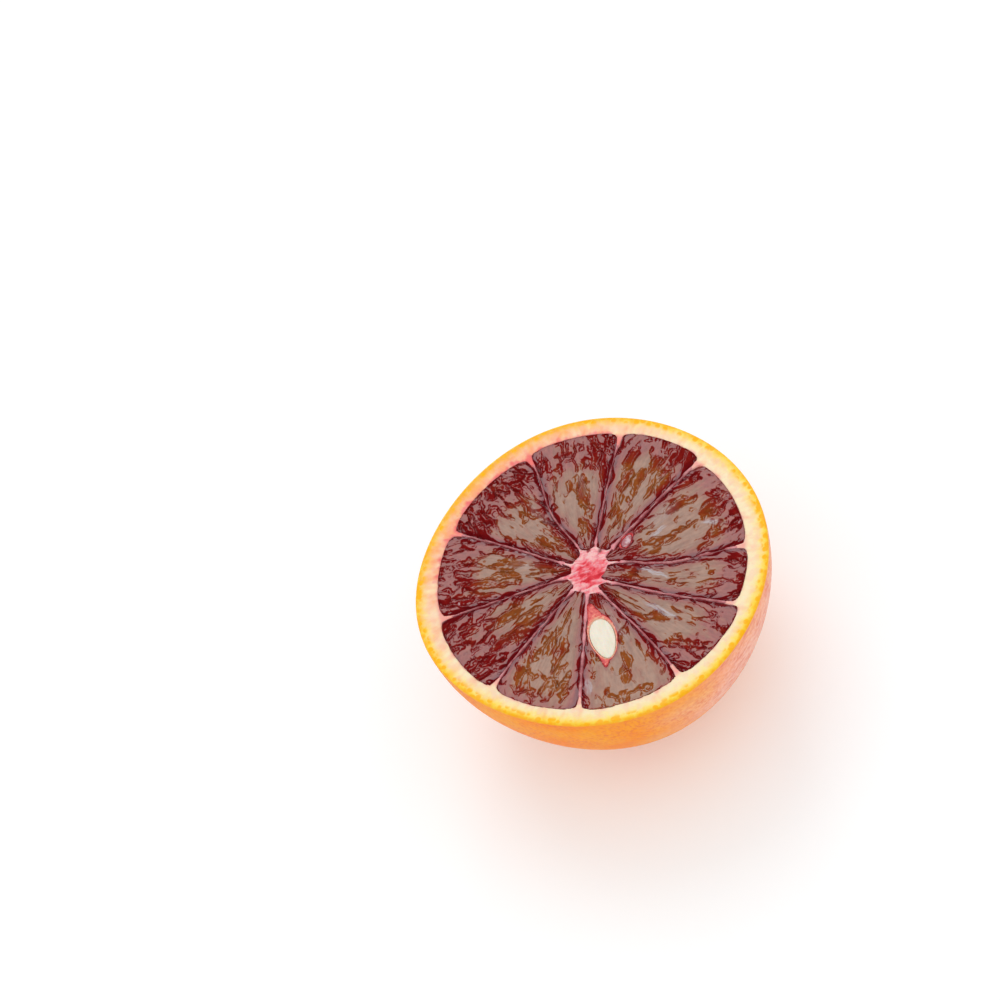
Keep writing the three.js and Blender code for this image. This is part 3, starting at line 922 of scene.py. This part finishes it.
def pulp_surface(index, across, along):
    """Height of the cut pulp and what its colour follows. s and t are as for the juice sacs."""

    def waves(x, y, seed):
        return noise(x, y, seed + index)

    inner, outer = segment_reach(index)
    s = mix(inner, outer, (along + 1) / 2)
    opening = wall_angle(index + 1, s) - wall_angle(index, s)
    half_width = s * np.radians(opening) / 2
    t = across * half_width
    fan_t = across * 6
    to_side = (1 - np.abs(across)) * half_width
    to_end = (1 - np.abs(along)) / 2 * (outer - inner)
    broken = END_BROKEN[index] * smooth(s, outer - 10, outer - 3)
    gap, sac, under, beside, sac_out = juice_sacs(index, s, t, half_width)
    slanted = SLANTED[index]
    draws = np.random.default_rng(400 + index)
    count = len(sac_out)
    # Each sac slants a little, and some slant steeply.
    steep_share = 0.1 + 0.4 * slanted + 0.2 * END_BROKEN[index] * smooth(sac_out, outer - 10, outer - 3)
    steep = draws.uniform(0, 1, count) < steep_share
    tilt = np.where(steep, draws.uniform(0.2, 0.34, count), draws.uniform(0, 0.07, count))
    slant = (tilt * draws.choice((-1, 1), count))[sac]
    # Here and there a sac dips under its neighbour.
    region = waves(s / 6, t / 4, 355)
    spread = -0.1 + 0.3 * slanted + 0.2 * broken + 0.3 * region
    spread = spread + 0.5 * waves(s / 4, t / 2.4, 300) + 0.25 * waves(s / 1.8, t / 1.3, 305)
    groove = np.where(under, above_zero(1.7 * spread + 0.1 - gap, 0.03), 0)
    # Gaps are long streaks by the core and curled spots by the pith.
    bend = 0.6 * waves(s / 3, fan_t / 1.6, 310)
    long = waves(s / 5 + bend, (fan_t + bend) / 1.05, 320)
    curl = 0.45 * waves(s / 1.3, t / 1.3, 325)
    turn = 0.45 * waves(s / 1.3, t / 1.3, 326)
    blob = waves(s / 2.5 + curl, t / 2.2 + turn, 330)
    fine = waves(s, t / 0.8, 340)
    field = mix(long, blob, 0.2 + 0.8 * smooth(s, BLOBS_FROM[index], BLOBS_TO[index])) + 0.14 * fine
    hollow = above_zero(field - 0.3 + 0.12 * slanted + 0.12 * broken + 0.25 * region, 0.04)
    swell = 0.08 * waves(s / 4.5, t / 2.6, 360) + slant * beside * smooth(gap, 0, 0.3)
    ripple = 0.008 * waves(s / 4, fan_t / 0.5, 365)
    height = swell + ripple - GROOVE_SLOPE * groove - HOLLOW_SLOPE * hollow
    # The pulp sinks beside the walls and, less widely, at the pith.
    band = 0.4 + 0.4 * slanted + noise(s / 4, 7.3 * (across > 0) + index, 370)
    band = np.where((across > 0) & (index == SHADED_SEGMENT), 0.7 + 0.5 * band, band)
    side_drop = SIDE_SLOPE * above_zero(np.clip(band, -0.2, 1.8) - to_side, 0.02)
    end_drop = END_SLOPE * above_zero(0.45 * waves(t / 1.9, 0, 375) - to_end, 0.02)
    height = height * smooth(np.minimum(to_side, to_end), 0, 0.3) - side_drop - end_drop
    # Its colour follows the slope, the place in the segment and the sac. By the slope, flat parts get a
    # painted reflection veil and steep parts darker, redder painted shade.
    outwards = np.gradient(height, axis=0) / np.gradient(s, axis=0)
    sideways = np.gradient(height, axis=1) / np.gradient(t, axis=1)
    slope_shade = smooth(np.hypot(outwards, sideways), *SHADE_SLOPES)
    reach = smooth(s, AMBER_REACH[index] + 3.5, AMBER_REACH[index] - 3) * mix(0.6, 1, smooth(s, 6, 14))
    drift = 0.36 * rough_noise(s / 3.6, t / 1.9, 420 + index) + draws.uniform(-0.16, 0.16, count)[sac]
    streak = 0.12 * waves(s / 3, fan_t / 0.45, 430)
    amber = np.clip(reach + drift + streak - 0.7 * np.abs(across) ** 3, 0, 1) * smooth(to_side, 0.2, 2.6)
    maroon = 0.22 * (1 - smooth(to_side, 0.2, 1.6)) + 0.1 * (1 - smooth(to_end, 0, 1))
    # Steep parts are made darker and redder, as painted shade.
    tone = 0.22 + 0.7 * amber - maroon - PAINTED_SLOPE_SHADE[index] * slope_shade
    # A painted sheen in streaks, brighter at the outer end of some segments.
    sheen_at_end = END_SHEEN[index] * smooth(s, outer - 14, outer - 6)
    painted_sheen = 0.4 + sheen_at_end + 0.5 * waves(s / 4, fan_t / 0.3, 440)
    painted_sheen = painted_sheen + 0.5 * waves(s / 1.2, t / 0.8, 445)
    return height, {"tone": tone, "slope_shade": slope_shade, "painted_sheen": np.clip(painted_sheen, 0, 1)}


def painted_glint_at(x, y):
    """How densely painted glints and reflection patches cover the cut pulp, as wavy streaks."""
    painted_glint = np.zeros_like(x)
    for cx, cy, degrees, length, width, dense in PAINTED_GLINTS:
        along, beside = along_axis(x, y, cx, cy, degrees)
        beside = beside + 0.5 * noise(along / 2.5, 0, int(50 + cx))
        beside = beside + 0.12 * noise(x / 0.5, y / 0.5, 51)
        thin = 1 - (2 * along / length) ** 2
        strands = smooth(noise(along / 2.2, beside / 0.3, 52), -0.5, 0.4)
        glint_patch = smooth(thin - (2 * beside / width) ** 2, 0, 0.8) * (0.3 + 0.7 * strands)
        painted_glint = np.maximum(painted_glint, dense * glint_patch)
    return painted_glint


def make_room(x, y, height, tone, seed, chamber, depth):
    """Height and tone of pulp that sinks inside a seed's chamber and is redder around it."""
    away, turn = seed_distance(x, y, seed)
    outside = away - chamber_growth(turn, chamber)
    red = 1 - smooth(outside, 0.2, 1.2 + 0.5 * noise(x / 0.8, y / 0.8, 77))
    red = np.maximum(red, 0.9 * (1 - smooth(np.hypot(x, y), 8.5, 12.5)))
    return height - depth * (1 - smooth(outside, -0.35, 0.05)), mix(tone, 0.12, 0.85 * red)


def crowded(count):
    """Places from -1 to 1 that are closer together at both ends."""
    even = np.linspace(-1, 1, count)
    return (1 + EDGE_CROWDING) * even - EDGE_CROWDING * even**3


def pulp_below(index, across, along, turn):
    """Points on the underside of a segment's pulp, at an angle below the cut face."""
    x, y = segment_plan(index, across, along, turn, PULP_CLEARANCE, WALL_THICKNESS)
    return row_of(x, y, -FLESH_DEPTH * math.sin(turn))


def build_pulp(index, material):
    across, along = np.meshgrid(crowded(PULP_COLUMNS), crowded(PULP_ROWS))
    x, y = segment_plan(index, across, along)
    height, values = pulp_surface(index, across, along)
    values["painted_glint"] = painted_glint_at(x, y)
    if index in SEED_WELLS:
        height, values["tone"] = make_room(x, y, height, values["tone"], *SEED_WELLS[index])
    points = [row_of(x.ravel(), y.ravel(), height.ravel())]
    faces = grid_faces(PULP_ROWS, PULP_COLUMNS)
    grid = np.arange(x.size).reshape(x.shape)
    edge = np.concatenate([grid[0, :-1], grid[:-1, -1], grid[-1, :0:-1], grid[:0:-1, 0]])
    above = edge
    total = x.size
    deepest = math.radians(DEEPEST_PULP_ANGLE)
    for level in range(1, PULP_LEVELS + 1):
        turn = deepest * (level / PULP_LEVELS) ** 1.15
        points.append(pulp_below(index, across.ravel()[edge], along.ravel()[edge], turn))
        below = total + np.arange(len(edge))
        total += len(edge)
        corners = zip(above, np.roll(above, -1), np.roll(below, -1), below)
        faces += [tuple(map(int, face)) for face in corners]
        above = below
    points.append(pulp_below(index, np.zeros(1), np.zeros(1), deepest))
    faces += fan(total, above, outward_up=True)
    number = f"{index + 1:02d}"
    points = np.concatenate(points)
    add_piece(f"pulp_{number}", points, faces, material, f"segment_{number}", values)


# -------- seeds

SEED_COLUMNS = 72
SEED_LIFT = 0.12  # of its middle over the cut
SEED_EDGE = -0.08  # the height at which its rounded side starts
# The rim of a chamber's skin in section: shares of its width, and heights over the cut.
RIM_SHARES = (0, 0, 0.15, 0.4, 0.65, 0.85, 1, 1)
RIM_HEIGHTS = (-1.6, -0.12, 0.05, 0.09, 0.1, 0.06, -0.08, -1.6)


def seed_ring(seed, share, grow=0.0):
    """Points of a seed's drop-shaped outline, at a share of its size and grown evenly."""
    turn = np.linspace(0, 2 * np.pi, SEED_COLUMNS, endpoint=False)
    half_length, half_width = seed["length"] / 2, seed["width"] / 2
    reach = np.hypot(half_length * np.cos(turn), half_width * np.sin(turn))
    share = share + grow / reach
    local_x = share * half_length * np.cos(turn)
    local_y = share * half_width * np.sin(turn) * (1 - SEED_TAPER * np.cos(turn))
    cx, cy = polar(seed["out"], seed["angle"])
    axis = math.radians(seed["turn"])
    x = cx + local_x * math.cos(axis) - local_y * math.sin(axis)
    y = cy + local_x * math.sin(axis) + local_y * math.cos(axis)
    return x, y, turn


def build_seed(name, seed, material, replaced, young):
    """A seed with its flat cut side up and rounded below."""
    rows = []
    for share in (0.02, 0.25, 0.5, 0.72, 0.86, 0.93, 0.97):
        x, y, _ = seed_ring(seed, share)
        rise = SEED_LIFT - SEED_LIFT * share**8 + 0.015 * rough_noise(x / 0.8, y / 2.5, 51)
        rows.append(row_of(x, y, rise))
    for turn in np.radians((0, 20, 40, 60, 80)):
        x, y, _ = seed_ring(seed, math.cos(turn))
        rows.append(row_of(x, y, SEED_EDGE - seed["depth"] * math.sin(turn)))
    faces = capped_faces(len(rows), SEED_COLUMNS)
    cx, cy = polar(seed["out"], seed["angle"])
    rows.append(np.array([(cx, cy, SEED_LIFT), (cx, cy, SEED_EDGE - seed["depth"])]))
    points = np.concatenate(rows)
    values = {"young": [young] * len(points)}
    add_piece(name, points, faces, material, replaced, values)


def build_chamber(name, seed, chamber, rim, material, young):
    """The skin of a seed's chamber, as a rim round the seed that stands in the pulp."""
    edge_x, edge_y, turn = seed_ring(seed, 1)
    growth = chamber_growth(turn, chamber)
    inner = np.where(growth > 0.9, 0.04, np.minimum(0.06, growth))
    rows, outers = [], []
    for share, height in zip(RIM_SHARES, RIM_HEIGHTS):
        ragged = 0.1 * rough_noise(edge_x / 0.8 + share, edge_y / 0.8 - share, 61)
        stand_off = mix(inner, growth + rim, share)
        x, y, _ = seed_ring(seed, 1, stand_off + ragged * share)
        rows.append(row_of(x, y, height + 0.6 * ragged * (height > -1)))
        outers.append(np.minimum(0.5 * stand_off, 0.4) + 0.35 * share**3)
    points = np.concatenate(rows)
    faces = grid_faces(len(rows), SEED_COLUMNS, rings=True, tube=True)
    values = {"outer": outers, "young": [0.6 * young] * len(points)}
    add_piece(name, points, faces, material, None, values)


# -------- floor, light and camera

CAMERA_ELEVATION = math.radians(55.09)  # above the cut face, from the -Y side
CAMERA_ROLL = math.radians(-23.57)
CAMERA_DISTANCE = 0.5608  # metres, as are all lengths below this
LENS = 100  # millimetres, as is the sensor's width
SENSOR_WIDTH = 36
PICTURE_WIDTH = 1000  # pixels, as is its height
FACE_PIXEL = (590.9, 567.2)  # where the middle of the cut face is in the picture
FLOOR_REACH = 3.0
SOFTBOX_DISTANCE = 0.9


def build_camera():
    data = bpy.data.cameras.new("camera")
    data.lens = LENS
    data.sensor_width = SENSOR_WIDTH
    camera = add_object("camera", data)
    back = Vector((0, -math.cos(CAMERA_ELEVATION), math.sin(CAMERA_ELEVATION)))
    level = Vector((1, 0, 0))
    up = back.cross(level)
    right = level * math.cos(CAMERA_ROLL) + up * math.sin(CAMERA_ROLL)
    above = up * math.cos(CAMERA_ROLL) - level * math.sin(CAMERA_ROLL)
    straight = Matrix((right, above, back)).transposed()
    focal_pixels = PICTURE_WIDTH * LENS / SENSOR_WIDTH
    x, y = ((pixel - PICTURE_WIDTH / 2) / focal_pixels for pixel in FACE_PIXEL)
    towards = Vector((x, -y, -1)).normalized()
    turned = Vector((0, 0, -1)).rotation_difference(towards).inverted().to_matrix()
    place = Matrix.Translation(FACE_CENTRE + back * CAMERA_DISTANCE)
    camera.matrix_world = place @ (straight @ turned).to_4x4()
    bpy.context.scene.camera = camera


def add_softbox(name, elevation, azimuth, size, radiance, colour):
    """A square area light that looks at the cut face; radiance is what a mirror would show."""
    data = bpy.data.lights.new(name, "AREA")
    data.size = size
    data.energy = radiance * math.pi * size**2
    data.color = colour
    light = add_object(name, data)
    rise, turn = math.radians(elevation), math.radians(azimuth)
    flat = math.cos(rise)
    direction = Vector((flat * math.cos(turn), flat * math.sin(turn), math.sin(rise)))
    light.location = place = FACE_CENTRE + direction * SOFTBOX_DISTANCE
    light.rotation_euler = (place - FACE_CENTRE).to_track_quat("Z", "Y").to_euler()


def build_stage():
    look = Look("floor", Roughness=0.6, IOR=1.3, Emission_Color=(1, 1, 1, 1), Emission_Strength=0.12)
    pale = ((0.4, 0.875, 0.905, 0.915), (0.6, 0.89, 0.922, 0.932))
    look.colour(look.ramp(look.noise(400, detail=1), *pale))
    mesh = bpy.data.meshes.new("floor")
    corners = [(FLOOR_REACH * x, FLOOR_REACH * y, 0) for x, y in ((-1, -1), (1, -1), (1, 1), (-1, 1))]
    mesh.from_pydata(corners, [], [(0, 1, 2, 3)])
    mesh.materials.append(look.material)
    floor = add_object("floor", mesh)


def build_light():
    world = bpy.data.worlds.new("studio")
    world.use_nodes = True
    sky = world.node_tree.nodes["Background"]
    sky.inputs["Color"].default_value = (1, 1, 1, 1)
    sky.inputs["Strength"].default_value = 0.95
    world.cycles_visibility.glossy = False
    bpy.context.scene.world = world
    add_softbox("back_softbox", 55, NORTH, size=0.5, radiance=1.7, colour=(0.97, 0.98, 1))
    add_softbox("low_softbox", 30, NORTH - 14, size=0.12, radiance=4.0, colour=(0.9, 0.95, 1))
    bpy.context.scene.view_settings.view_transform = "Standard"


# -------- all of it

build_camera()
build_light()
build_stage()
rind = rind_look()
build_skin(rind)
build_pith(rind)
build_core(core_look())
membrane = membrane_look()
for number in range(SEGMENTS):
    build_membrane(number, membrane)
pulp = pulp_look()
for number in range(SEGMENTS):
    build_pulp(number, pulp)
seed_material = seed_look()
build_seed("seed_large_kernel", LARGE_SEED, seed_material, "seed_large", 0)
build_seed("seed_small_kernel", SMALL_SEED, seed_material, "seed_small", 1)
chamber_skin = chamber_look()
build_chamber("seed_large_chamber", LARGE_SEED, LARGE_CHAMBER, 0.25, chamber_skin, 0)
build_chamber("seed_small_chamber", SMALL_SEED, SMALL_CHAMBER, 0.2, chamber_skin, 1)
